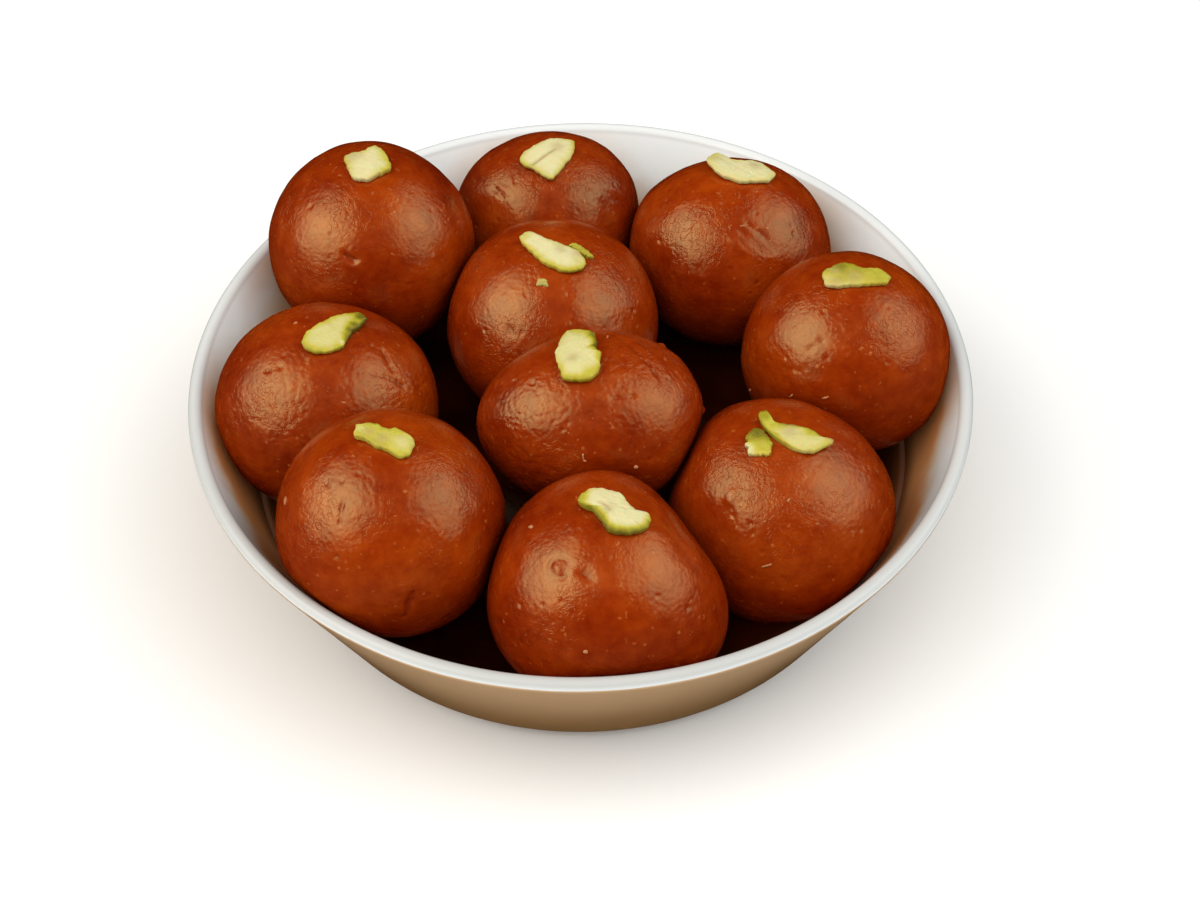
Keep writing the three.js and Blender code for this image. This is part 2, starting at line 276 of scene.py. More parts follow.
BOWL = {
    "corner_radius": 56.6, "wall": 2.8, "floor": 4, "lip": 1.4, "outer_fillet": 7, "inner_fillet": 9,
    "foot_radius": 48, "foot_width": 4, "foot_bevel": 0.25, "recess": 1.2,
}
BOWL_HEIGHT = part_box("bowl")[1].z / MM
RIM_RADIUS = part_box("bowl")[1].x / MM
BOWL_SIDES = 240
BOWL_STEPS = {
    "under": 8, "outer_fillet": 12, "lip": 14, "wall": 24, "inner_fillet": 14, "floor": 12,
}
SHADED_OUTSIDE_LINE = 1.3  # how far below the top of the lip the outside's painted shade and painted warm reflection begin
SHADED_OUTSIDE_FADE = 1.1  # how far the white glaze and that painted tan run into each other
LIP_BEGINS = 1.6  # how far below the top the lip's painted shade begins, and is full
LIP_FULL = 0.3
LIP_TURNS = 60  # how far to the front and the back of the middle that painted shade changes, darker at the front
OUTSIDE_DARKEST_BELOW = 6  # height below which the outside's painted shade is darkest
STREAKS = 8  # how far the edges of tones run up and down, in all

WALL_SLOPE = (RIM_RADIUS - BOWL["corner_radius"]) / (BOWL_HEIGHT - BOWL["lip"])
WALL_LEAN = math.degrees(math.atan(WALL_SLOPE))

SYRUP_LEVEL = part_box("syrup")[1].z / MM
WET_SHADE_TOP = 25  # height up to which the wall near the balls darkens to the syrup's colour, partly wet syrup and partly painted shade deep between the balls
BALL_SHADE_TOP = 37  # height up the wall above which the painted shade and reflection of the balls gain nothing from lying low
BALL_SHADE_FULL = 21  # height below which that gain is full
BALL_SHADE_TILT = 0.07  # how much higher it stands for each millimetre towards the front
BALL_SHADE_REACH = 6.0  # how far from a ball its painted shade and reflection on the wall fade to a third
BALL_SHADE_ENDS = 30.0  # how far from a ball nothing of it is left
BALL_SHADE_HIGH_UP = 0.75  # how strong the painted shade and reflection are high up the wall
BALL_SHADE_GAIN = 2.0  # how much it gains low down


# ---- finishes ----

SKIN_DARK = (0.170, 0.0105, 0.0003)
SKIN_MIDDLE = (0.245, 0.0220, 0.0005)
SKIN_LIGHT = (0.320, 0.0380, 0.0009)
SKIN_FLECK = (0.440, 0.115, 0.022)
FILM_TINT = (1.0, 0.88, 0.38, 1.0)
GLAZE_WHITE = (0.888, 0.930, 0.930)
# painted shade: the lip, darker than the white glaze, and darkest at the front
LIP_PAINTED_SHADE_FRONT = (0.495, 0.490, 0.470)
LIP_PAINTED_SHADE_BACK = (0.700, 0.710, 0.700)
# painted reflection of the orange balls, with painted shade, on the wall near them
PAINTED_REFLECTION_BEIGE = (0.820, 0.735, 0.630)
PAINTED_REFLECTION_BROWN = (0.800, 0.520, 0.310)
PAINTED_REFLECTION_ORANGE = (0.800, 0.340, 0.120)
# painted shade and a painted warm reflection: the white bowl's outer side, shaded, as tan, darker
# still low down
OUTSIDE_PAINTED_SHADE = (0.660, 0.410, 0.215)
OUTSIDE_PAINTED_SHADE_DARK = (0.345, 0.178, 0.060)
SYRUP_BROWN = (0.012, 0.0015, 0.0003)
SYRUP_THIN = (0.150, 0.045, 0.012)
SYRUP_RED = (0.028, 0.0035, 0.0006)
NUT_CREAM = (0.620, 0.555, 0.290)
NUT_YELLOW = (0.470, 0.400, 0.040)
NUT_LIME = (0.290, 0.248, 0.006)
NUT_OLIVE = (0.115, 0.092, 0.003)
NUT_TOAST = (0.390, 0.285, 0.120)
MILK_PALE = (0.400, 0.185, 0.080)
FLOOR_PALE = (0.880, 0.875, 0.860)
FLOOR_GREY = (0.860, 0.860, 0.850)

# Heights in the skin's finest relief.
SKIN_GRAIN = 0.03
SKIN_PEBBLES = 0.067
SKIN_FUZZ = 0.029
SKIN_CREASES = 0.035
SKIN_FLECKS = 0.04
SCRATCH_STRETCH = (0.55, 0.30, 0.55)  # pale scratches run along Y


def paint_skin(bench):
    """Fried skin: even red-brown, with painted shade in its creases and pits, and pale grains and
    scratches.
    """
    place = bench.place_in_mm()
    relief = bench.attribute("relief")
    clouds = bench.noise(place, 0.06, 3, 0.5)
    blotches = bench.noise(place, 0.36, 3, 0.6)
    tone = clouds * 0.6 + blotches * 0.4
    colour = bench.ramp(tone, [(0.34, SKIN_DARK), (0.5, SKIN_MIDDLE), (0.66, SKIN_LIGHT)])
    # painted shade: the skin darkens where its relief dips, in creases, pits and dents
    crease_shade = bench.smooth(-relief, 0.06, 0.40)
    colour = bench.blend(crease_shade * 0.75, colour, SKIN_DARK)
    grains = 1 - bench.smooth(bench.cells(place, 0.30), 0.05, 0.14)
    long_way = bench.vector("MULTIPLY", place, SCRATCH_STRETCH)
    ragged = bench.strayed(long_way, place, 1.3, 0.9)
    scratches = 1 - bench.smooth(bench.cells(ragged, 0.80), 0.06, 0.16)
    some = bench.smooth(bench.noise(place, 0.13, 1), 0.50, 0.60)
    fleck = bench.maths("MAXIMUM", grains * some, scratches * 0.8)
    colour = bench.blend(fleck * 0.6, colour, SKIN_FLECK)

    crease = bench.creases(place, (0.5, 1.3), 0.6, 0.6, 0.06)
    creased_here = bench.smooth(bench.noise(place, 0.09, 1), 0.46, 0.62)
    height = (
        bench.noise(place, 0.85, 1) * SKIN_GRAIN
        + bench.cells(place, 1.25, feature="SMOOTH_F1") * SKIN_PEBBLES
        + bench.noise(place, 2.6, 2, 0.6) * SKIN_FUZZ
        - crease * creased_here * SKIN_CREASES
        + fleck * SKIN_FLECKS
    )
    return {
        "Base Color": colour,
        "Roughness": 0.14 + blotches * 0.10 + bench.attribute("dry"),
        "Normal": bench.bump(height),
    }


def inside_with_painted_shade(bench, place, height, towards_back):
    """White glaze that turns beige and brown near the balls, most low down and towards the front, as
    painted shade and painted reflection of the balls, darkest just above the syrup; on the lip,
    painted shade.
    """
    # painted shade and painted reflection of the balls, strongest near them, low down and towards
    # the front
    level = height + towards_back * BALL_SHADE_TILT + bench.ripple(place, 0.08) * STREAKS
    low_shade_gain = bench.smooth(-level, -BALL_SHADE_TOP, -BALL_SHADE_FULL)
    ball_shade_strength = bench.attribute("stain") * (BALL_SHADE_HIGH_UP + low_shade_gain * BALL_SHADE_GAIN)
    painted_shade_share = bench.smooth(ball_shade_strength + bench.ripple(place, 0.2) * 0.2, 0.12, 1.0)
    stops = [(0.0, GLAZE_WHITE), (0.35, PAINTED_REFLECTION_BEIGE), (0.75, PAINTED_REFLECTION_BROWN), (1.0, PAINTED_REFLECTION_ORANGE)]
    inside = bench.ramp(painted_shade_share, stops)
    # partly wet syrup, partly painted shade: near the balls the wall darkens just above the pool
    wet_and_shaded = bench.smooth(-height, -WET_SHADE_TOP, -SYRUP_LEVEL)
    inside = bench.blend(wet_and_shaded * painted_shade_share, inside, SYRUP_THIN)
    # painted shade on the lip, darker at the front than at the back
    behind = bench.smooth(towards_back, -LIP_TURNS, LIP_TURNS)
    lip = bench.blend(behind, LIP_PAINTED_SHADE_FRONT, LIP_PAINTED_SHADE_BACK)
    on_lip = bench.smooth(height, BOWL_HEIGHT - LIP_BEGINS, BOWL_HEIGHT - LIP_FULL)
    return bench.blend(on_lip, inside, lip)


def paint_glaze(bench):
    """White glaze inside and over the lip; outside, painted shade and a painted warm reflection as
    tan, darker towards the bottom; a faint ripple.
    """
    place = bench.place_in_mm()
    towards_back, height = bench.part_of(place, 1), bench.part_of(place, 2)
    drift = bench.noise(place, 0.03, 2)
    # painted shade: the outside's tan darkens towards the bottom
    down = bench.smooth(-height + (drift - 0.5) * STREAKS, -BOWL_HEIGHT, -OUTSIDE_DARKEST_BELOW)
    tan = bench.blend(down, OUTSIDE_PAINTED_SHADE, OUTSIDE_PAINTED_SHADE_DARK)
    edge = bench.attribute("outside") + bench.ripple(place, 0.15, 1) * 0.16
    outside = bench.smooth(edge, 0.42, 0.58)
    inside = inside_with_painted_shade(bench, place, height, towards_back)
    ripple = bench.noise(place, 0.12, 2) * 0.05 + bench.noise(place, 1.1, 2) * 0.004
    return {
        "Base Color": bench.blend(outside, inside, tan),
        "Roughness": 0.22 + outside * 0.16 + drift * 0.06,
        "Normal": bench.bump(ripple),
    }


def paint_syrup(bench):
    """Near black where it is deep; where it thins out on the wall, the glaze shows through."""
    place = bench.place_in_mm()
    swirl = bench.smooth(bench.noise(place, 0.06, 3), 0.35, 0.65)
    ripple = bench.noise(place, 0.09, 2) * 0.12
    deep = bench.blend(swirl, SYRUP_BROWN, SYRUP_RED)
    thin = bench.attribute("thin")
    return {
        "Base Color": bench.blend(thin, deep, SYRUP_THIN),
        "Roughness": 0.05 + swirl * 0.05 + thin * 0.5,
        "Normal": bench.bump(ripple),
    }


def paint_nut(bench):
    """Cut pistachio: cream flesh, yellow then green towards its skin, toasted in places."""
    place = bench.place_in_mm()
    green = bench.attribute("green") + bench.ripple(place, 0.6, 3, 0.6) * 0.16
    stops = [(0.04, NUT_CREAM), (0.40, NUT_YELLOW), (0.68, NUT_LIME), (1.0, NUT_OLIVE)]
    colour = bench.blend(bench.attribute("toast"), bench.ramp(green, stops), NUT_TOAST)
    return {
        "Base Color": colour,
        "Roughness": 0.45 + bench.noise(place, 0.8, 2) * 0.2,
        "Normal": bench.bump(bench.noise(place, 1.3, 3, 0.6) * 0.20),
    }


def paint_milk(bench):
    """Pale milk solids, browner in places."""
    place = bench.place_in_mm()
    cloud = bench.smooth(bench.noise(place, 1.2, 2), 0.3, 0.7)
    return {
        "Base Color": bench.blend(cloud, MILK_PALE, SKIN_FLECK),
        "Roughness": 0.4 + cloud * 0.2,
        "Normal": bench.bump(bench.noise(place, 3.0, 2) * 0.08),
    }


def paint_floor(bench):
    place = bench.place_in_mm()
    cloud = bench.noise(place, 0.004, 2)
    return {
        "Base Color": bench.blend(cloud, FLOOR_PALE, FLOOR_GREY),
        "Roughness": 0.6 + cloud * 0.1,
    }


# ---- meshes ----


def store(mesh, name, values):
    """Keeps one value for each point of the mesh, for its finish to read."""
    layer = mesh.attributes.new(name, "FLOAT", "POINT")
    layer.data.foreach_set("value", np.asarray(values, np.float32))


def mesh_piece(name, points, faces, finish, attributes=None):
    """An object at the origin from points in millimetres, with values for its points."""
    mesh = bpy.data.meshes.new(name)
    mesh.from_pydata([tuple(p) for p in np.asarray(points, float) * MM], [], faces)
    for key, values in (attributes or {}).items():
        store(mesh, key, values)
    mesh.materials.append(finish)
    mesh.shade_smooth()
    return placed(name, mesh)


def points_of(mesh):
    flat = np.empty(len(mesh.vertices) * 3, np.float32)
    mesh.vertices.foreach_get("co", flat)
    return flat.reshape(-1, 3).astype(float) / MM


def set_points(mesh, points):
    mesh.vertices.foreach_set("co", (points * MM).astype(np.float32).ravel())
    mesh.update()


def hand_over(piece, slot, *nodes):
    """The finished piece stands for its CAD nodes, or for none if it is a trimming."""
    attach(piece, "root")
    if nodes:
        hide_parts(*nodes)


def rework(mesh, operation, parts, **options):
    """Runs a bmesh operation on all verts or faces of a mesh."""
    builder = bmesh.new()
    builder.from_mesh(mesh)
    operation(builder, **{parts: getattr(builder, parts)}, **options)
    builder.to_mesh(mesh)
    builder.free()


def bake(piece, modifier):
    """Gives the piece the mesh that its modifier makes, and takes the modifier off."""
    graph = bpy.context.evaluated_depsgraph_get()
    mesh = bpy.data.meshes.new_from_object(piece.evaluated_get(graph), depsgraph=graph)
    piece.modifiers.remove(modifier)
    piece.data = mesh
    mesh.name = piece.name


def middle_of(node):
    low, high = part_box(node)
    return np.array((low + high) / 2) / MM


def heading(bearing, lift):
    bearing, lift = math.radians(bearing), math.radians(lift)
    return np.array((
        math.cos(lift) * math.cos(bearing),
        math.cos(lift) * math.sin(bearing),
        math.sin(lift),
    ))


def directions_at(up):
    """To the right and to the back, where something lies on a ball."""
    right = np.cross((0, 1, 0), up)
    right /= np.linalg.norm(right)
    return right, np.cross(up, right)


def distance_to_path(points, corners):
    """How far each point is from a path through the corners, or from a lone one."""
    corners = np.array(corners, float)
    nearest = np.linalg.norm(points - corners[0], axis=1)
    for start, end in zip(corners, corners[1:]):
        run = end - start
        along = np.clip((points - start) @ run / (run @ run), 0, 1)
        away = np.linalg.norm(points - start - along[:, None] * run, axis=1)
        nearest = np.minimum(nearest, away)
    return nearest


def ring_faces(sides, rings):
    """Faces between rings of points, closed by a first and a last point of their own."""
    faces = []
    last, end = 1 + (rings - 1) * sides, 1 + rings * sides
    for side in range(sides):
        beside = (side + 1) % sides
        faces.append((0, 1 + beside, 1 + side))
        for near in range(1, last, sides):
            far = near + sides
            faces.append((near + side, near + beside, far + beside, far + side))
        faces.append((last + side, last + beside, end))
    return faces


# ---- bowl ----


def outer_radius(z):
    return BOWL["corner_radius"] + WALL_SLOPE * z


def inner_radius(z):
    return outer_radius(z) - BOWL["wall"]


def arc(centre, radius, start, end, steps):
    angles = np.radians(np.linspace(start, end, steps + 1))
    return [(centre[0] + radius * math.cos(a), centre[1] + radius * math.sin(a)) for a in angles]


def line(start, end, steps):
    """Points between start and end, both left out."""
    return [tuple(np.array(start) + (np.array(end) - start) * i / steps) for i in range(1, steps)]


def fillet_centre(radius_at_level, z, fillet):
    half_corner = math.radians((90 + WALL_LEAN) / 2)
    return radius_at_level - fillet / math.tan(half_corner), z + fillet


def bowl_profile():
    """Outside and inside of the bowl's section, from axis to axis."""
    recess, lip, floor, bevel = (BOWL[key] for key in ("recess", "lip", "floor", "foot_bevel"))
    foot, foot_inner = BOWL["foot_radius"], BOWL["foot_radius"] - BOWL["foot_width"]
    under = foot_inner - recess
    lip_z = BOWL_HEIGHT - lip
    steps = BOWL_STEPS
    outer = fillet_centre(outer_radius(recess), recess, BOWL["outer_fillet"])
    inner = fillet_centre(inner_radius(floor), floor, BOWL["inner_fillet"])
    outside = [(0, recess), *line((0, recess), (under, recess), steps["under"])]
    outside += [(under, recess), (foot_inner - bevel, bevel), (foot_inner, 0)]
    outside += [(foot, 0), (foot + bevel, bevel), (foot + recess, recess)]
    outside += arc(outer, BOWL["outer_fillet"], -90, -WALL_LEAN, steps["outer_fillet"])
    lip_outer = arc((RIM_RADIUS - lip, lip_z), lip, -WALL_LEAN, 90, steps["lip"])
    outside += line(outside[-1], lip_outer[0], steps["wall"])
    lip_inner = arc((inner_radius(lip_z) + lip, lip_z), lip, 90, 180 - WALL_LEAN, steps["lip"])
    floor_arc = arc(inner, BOWL["inner_fillet"], -WALL_LEAN, -90, steps["inner_fillet"])
    inside = lip_inner + line(lip_inner[-1], floor_arc[0], steps["wall"]) + floor_arc
    inside += line(floor_arc[-1], (0, floor), steps["floor"]) + [(0, floor)]
    return outside + lip_outer, inside


def turned(profile, sides):
    """Points and faces of a profile, from axis to axis, turned round Z."""
    angles = np.linspace(0, 2 * math.pi, sides, endpoint=False)
    points = [(0, 0, profile[0][1])]
    for radius, z in profile[1:-1]:
        points += [(radius * math.cos(a), radius * math.sin(a), z) for a in angles]
    points.append((0, 0, profile[-1][1]))
    return points, ring_faces(sides, len(profile) - 2)


def ball_shade_at(point, skins):
    """1 on a ball's skin, fading out with the distance to the balls nearby."""
    clean = 1.0
    for skin in skins:
        away = skin.find_nearest(metres(point), BALL_SHADE_ENDS * MM)[3]
        if away is not None:
            clean *= 1 - math.exp(-away / MM / BALL_SHADE_REACH)
    return 1 - clean


def make_bowl(finish, skins):
    """The bowl, with painted shade and painted reflection of the balls on the wall where a ball is
    near.
    """
    outside, inside = bowl_profile()
    points, faces = turned(outside + inside, BOWL_SIDES)
    # below the lip, the outside takes painted shade and a painted warm reflection, as tan
    shade_below = BOWL_HEIGHT - SHADED_OUTSIDE_LINE
    tan = []
    for radius, z in outside + inside:
        is_outside = (radius, z) in outside
        tan.append(min(max((shade_below - z) / SHADED_OUTSIDE_FADE + 0.5, 0), 1) if is_outside else 0)
    values = np.repeat(tan, [1] + [BOWL_SIDES] * (len(tan) - 2) + [1])
    first_inside = 1 + (len(outside) - 1) * BOWL_SIDES
    # painted shade and painted reflection: how near the balls each inner point is
    stain = [
        ball_shade_at(point, skins) if index >= first_inside else 0.0
        for index, point in enumerate(points)
    ]
    bowl = mesh_piece("glazed_bowl", points, faces, finish, {"outside": values, "stain": stain})
    bowl.visible_glossy = False
    hand_over(bowl, "bowl", "bowl")


# ---- balls ----

BALL_COUNT = 10
BALL_DIVISIONS = 7  # 81,920 triangles a ball
SOLID_ROUNDING = 2  # subdivisions that round the CAD solid's facets off
REACH = 0.1  # metres, further than any ball's skin from its middle
SAME_POINT = 1e-5  # metres between points that are taken for one
SEED_SHIFT = (91, 57)  # how far apart the patterns of two balls lie, along X and Y
SKIN_DEPTHS = {"Dent depth": 0.5, "Crease depth": 0.10, "Pore depth": 0.20}
SWELLS = 0.08  # height of the skin's broad swells

# How creased each ball is: 1 is plain, 2 is crackled.
CREASED = {2: 1.1, 6: 1.35, 7: 1.25}
# How much rougher than the rest a ball's skin is.
DRY = {2: 0.04, 6: 0.03, 7: 0.03, 10: 0.02}

# Marks on single balls: ball, height of the mark (below zero, depth), half its width, the
# bearings and lifts that it runs through and, for a ring, its radius.
MARK_STRENGTH = 0.65
MARK_FADING = 0.35  # how much a mark's strength varies along it
MARK_WANDER = 0.3  # how far a mark strays from its run
RING_WANDER = 0.4  # share of that for a ring
WANDER_WAVES = ((17, 29, 21), (25, -19, 13))  # waves across a ball, along X, Y and Z
FADING_WAVE = (31, 23, 27)
MARKS = [
    (1, -0.75, 0.75, [(-99, 37), (-93, 35)]),
    (1, 0.35, 0.55, [(-43, 25)]),
    (2, -0.5, 2.2, [(-30, 35), (-20, 30)]),
    (2, -0.4, 2.0, [(-141, 49)]),
    (3, 0.26, 0.8, [(-90, 50), (-81, 43), (-70, 38), (-57, 35)]),
    (3, -0.35, 1.8, [(-76, 55), (-62, 47)]),
    (3, -0.25, 1.0, [(-113, 30)]),
    (4, -0.20, 0.5, [(-133, 24), (-121, 30)]),
    (4, -0.20, 0.5, [(-123, 40), (-117, 48)]),
    (5, -0.40, 1.1, [(-118, 38)]),
    (6, -0.45, 0.5, [(64, 58), (30, 61), (5, 54), (-11, 45)]),
    (6, 0.25, 0.5, [(70, 54), (36, 56), (12, 49), (-5, 40)]),
    (6, -0.30, 0.45, [(-61, 57), (-41, 52)]),
    (6, 0.6, 0.5, [(37, 31)]),
    (6, 0.7, 0.6, [(4, 4)]),
    (7, -0.45, 0.5, [(-4, 54), (-12, 50), (-16, 45)]),
    (7, -0.40, 0.5, [(-33, 54), (-24, 45), (-19, 36)]),
    (7, -0.35, 0.45, [(-144, 55), (-133, 63)]),
    (8, -0.55, 0.5, [(-73, 11), (-76, 4), (-78, -5)]),
    (8, -0.35, 0.35, [(-123, 57), (-120, 51), (-118, 45)]),
    (8, -0.30, 0.4, [(-146, 57), (-136, 58)]),
    (9, -0.34, 0.6, [(-132, 54)], 1.7),
    (9, 0.20, 0.7, [(-132, 54)]),
    (9, -0.40, 1.3, [(-110, 57), (-106, 56)]),
    (10, 0.60, 1.0, [(-136, 46), (-135, 49)]),
]


def ball_name(number):
    return f"gulab_jamun_{number:02d}"


def skin_tree(finish):
    """Geometry Nodes: rounds a faceted ball off and creases its skin.

    Every input is named; the creases differ with Seed alone.
    """
    tree = bpy.data.node_groups.new("fried_ball_skin", "GeometryNodeTree")
    kinds = {"Solid": "Object", "Middle": "Vector", "Seed": "Float", "Creasing": "Float"}
    kinds.update((depth, "Float") for depth in SKIN_DEPTHS)
    for name, kind in kinds.items():
        tree.interface.new_socket(name, in_out="INPUT", socket_type="NodeSocket" + kind)
    tree.interface.new_socket("Geometry", in_out="OUTPUT", socket_type="NodeSocketGeometry")
    bench = Bench(tree)
    entry = tree.nodes.new("NodeGroupInput")
    solid, middle, seed, creasing, dent_depth, crease_depth, pore_depth = (
        Wire(bench, entry.outputs[name]) for name in kinds
    )

    def shape(kind, values=None, settings=None, out=0):
        return bench.node("GeometryNode" + kind, settings, values, out)

    solid = shape("ObjectInfo", {"Object": solid}, out="Geometry")
    solid = shape("MergeByDistance", {"Geometry": solid, "Distance": SAME_POINT})
    solid = shape("SubdivisionSurface", {"Mesh": solid, "Level": SOLID_ROUNDING})
    sphere = shape("MeshIcoSphere", {"Radius": 1, "Subdivisions": BALL_DIVISIONS})
    outward = bench.vector("NORMALIZE", shape("InputPosition"))
    ray = {"Target Geometry": solid, "Source Position": middle}
    ray.update({"Ray Direction": outward, "Ray Length": REACH})
    skin_point = shape("Raycast", ray, out="Hit Position")
    ball = shape("SetPosition", {"Geometry": sphere, "Position": skin_point})

    place = bench.scaled(shape("InputPosition"), 1 / MM)
    apart = {axis: seed * shift for axis, shift in enumerate(SEED_SHIFT)}
    apart = bench.node("ShaderNodeCombineXYZ", None, apart)
    place = bench.vector("ADD", place, apart)
    dents = bench.ripple(place, 0.12, 1)
    crease = bench.creases(place, (0.3, 2.2), 0.42, 0.55, 0.08)
    creased_here = bench.smooth(bench.noise(place, 0.07, 1) * creasing, 0.48, 0.90)
    pores = 1 - bench.smooth(bench.cells(place, 0.36), 0.06, 0.24)
    pored_here = bench.smooth(bench.noise(place, 0.11, 1), 0.46, 0.58)
    relief = (
        dents * dent_depth
        + bench.ripple(place, 0.55) * SWELLS * creasing
        - crease * creased_here * crease_depth
        - pores * pored_here * pore_depth
    )
    kept = {"Geometry": ball, "Name": "relief", "Value": relief}
    ball = shape("StoreNamedAttribute", kept, {"data_type": "FLOAT", "domain": "POINT"})
    stored = shape("InputNamedAttribute", {"Name": "relief"}, {"data_type": "FLOAT"})
    push = bench.scaled(shape("InputNormal"), stored * MM)
    ball = shape("SetPosition", {"Geometry": ball, "Offset": push})
    ball = shape("SetShadeSmooth", {"Geometry": ball})
    ball = shape("RealizeInstances", {"Geometry": ball})
    ball = shape("SetMaterial", {"Geometry": ball, "Material": finish})
    result = tree.nodes.new("NodeGroupOutput")
    bench.feed(result.inputs["Geometry"], ball)
    return tree


def grown(name, tree, inputs):
    """The mesh that a Geometry Nodes tree makes, as a plain object."""
    seedling = placed(name, bpy.data.meshes.new(name))
    modifier = seedling.modifiers.new("grow", "NODES")
    modifier.node_group = tree
    for socket in tree.interface.items_tree:
        if socket.in_out == "INPUT":
            modifier[socket.identifier] = inputs[socket.name]
    bake(seedling, modifier)
    return seedling


def press_marks(ball, number, middle):
    """Pits, cracks, rings and nubs of one ball, added to its relief."""
    points = points_of(ball.data)
    arms = points - middle
    radii = np.linalg.norm(arms, axis=1)
    directions = arms / radii[:, None]
    change = np.zeros(len(points))
    one, other = (np.sin(directions @ wave) for wave in WANDER_WAVES)
    wander = MARK_WANDER * one * other
    for marked, height, width, path, *ring in MARKS:
        if marked != number:
            continue
        radius = ring[0] if ring else 0
        away = distance_to_path(directions, [heading(*stop) for stop in path]) * radii.mean()
        fading = MARK_FADING * np.sin(directions @ FADING_WAVE + marked)
        strength = MARK_STRENGTH * (1 + fading)
        stray = RING_WANDER * wander if ring else wander
        change += height * strength * np.exp(-(((away - radius + stray) / width) ** 2))
    set_points(ball.data, points + directions * change[:, None])
    layer = ball.data.attributes["relief"]
    relief = np.empty(len(points), np.float32)
    layer.data.foreach_get("value", relief)
    layer.data.foreach_set("value", (relief + change).astype(np.float32))


def make_balls(finish):
    tree = skin_tree(finish)
    balls = {}
    for number in range(1, BALL_COUNT + 1):
        node = ball_name(number)
        middle = middle_of(node)
        ball = grown(f"fried_ball_{number:02d}", tree, {
            "Solid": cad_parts[node],
            "Middle": tuple(metres(middle)),
            "Seed": float(number),
            "Creasing": CREASED.get(number, 1.0),
            **SKIN_DEPTHS,
        })
        press_marks(ball, number, middle)
        store(ball.data, "dry", [DRY.get(number, 0.0)] * len(ball.data.vertices))
        balls[number] = ball
    return balls


# ---- syrup ----

POOL_SIDES = 180
POOL_RING = 1.2  # from one ring of the pool's surface to the next
CLIMB = 0.9  # how high the syrup climbs what it wets
CLIMB_REACH = 1.3  # how far from it the climb fades out
THIN_REACH = 1.8  # how far from the wall the syrup is thin enough to see through
THIN_POWER = 1.5
FLOOR_CLEAR = 0.3  # between the pool and the bowl's floor, and its wall
WALL_CLEAR = 0.1
POOL_STEPS = {"floor": 6, "fillet": 8}
ON_SURFACE = 0.01  # how far below the level a point still counts as on the surface


def merged_copy(node):
    """A closed copy of a CAD node, for cutting with."""
    copy = placed(node + "_cutter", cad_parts[node].data.copy())
    rework(copy.data, bmesh.ops.remove_doubles, "verts", dist=SAME_POINT)
    return copy


def tree_of(mesh):
    builder = bmesh.new()
    builder.from_mesh(mesh)
    found = BVHTree.FromBMesh(builder)
    builder.free()
    return found


def pool_profile():
    """Section of the pool, from the axis at its bottom to the axis on its surface."""
    bottom = BOWL["floor"] + FLOOR_CLEAR
    inner = fillet_centre(inner_radius(BOWL["floor"]), BOWL["floor"], BOWL["inner_fillet"])
    inner = (inner[0] - FLOOR_CLEAR, inner[1] + FLOOR_CLEAR)
    edge = inner_radius(SYRUP_LEVEL) - WALL_CLEAR
    rings = int(edge / POOL_RING)
    profile = [(0, bottom), *line((0, bottom), (inner[0], bottom), POOL_STEPS["floor"])]
    profile += arc(inner, BOWL["inner_fillet"], -90, -WALL_LEAN, POOL_STEPS["fillet"])
    profile += [(edge, SYRUP_LEVEL), *line((edge, SYRUP_LEVEL), (0, SYRUP_LEVEL), rings)]
    return [*profile, (0, SYRUP_LEVEL)]


def cut_out(piece, copies):
    """Takes the copies' shapes out of the piece."""
    cutters = bpy.data.collections.new("cutters")
    for copy in copies:
        cutters.objects.link(copy)
    cut = piece.modifiers.new("cut", "BOOLEAN")
    cut.operation = "DIFFERENCE"
    cut.operand_type = "COLLECTION"
    cut.collection = cutters
    cut.solver = "EXACT"
    bake(piece, cut)
    bpy.data.collections.remove(cutters)


def make_syrup(finish):
    """A pool round the balls that climbs a little where it wets them and the wall."""
    pool = mesh_piece("syrup_pool", *turned(pool_profile(), POOL_SIDES), finish)
    copies = [merged_copy(ball_name(n)) for n in range(1, BALL_COUNT + 1)]
    cut_out(pool, copies)
    mesh = pool.data

    skins = [tree_of(copy.data) for copy in copies]
    points = points_of(mesh)
    for index in np.flatnonzero(points[:, 2] > SYRUP_LEVEL - ON_SURFACE):
        x, y, _ = points[index]
        from_ball = min(skin.find_nearest(metres(points[index]))[3] for skin in skins) / MM
        from_wall = max(inner_radius(SYRUP_LEVEL) - math.hypot(x, y), 0)
        rise = CLIMB * math.exp(-min(from_ball, from_wall) / CLIMB_REACH)
        lean = 1 + rise * WALL_SLOPE * math.exp(-from_wall) / max(math.hypot(x, y), 1)
        points[index] = (x * lean, y * lean, SYRUP_LEVEL + rise)
    set_points(mesh, points)
    from_wall = inner_radius(points[:, 2]) - np.hypot(points[:, 0], points[:, 1])
    thin = np.exp(-((np.maximum(from_wall, 0) / THIN_REACH) ** THIN_POWER))
    store(mesh, "thin", thin)
    for copy in copies:
        bpy.data.objects.remove(copy)
    mesh.materials.clear()
    mesh.materials.append(finish)
    hand_over(pool, "syrup", "syrup")


# ---- pistachio ----

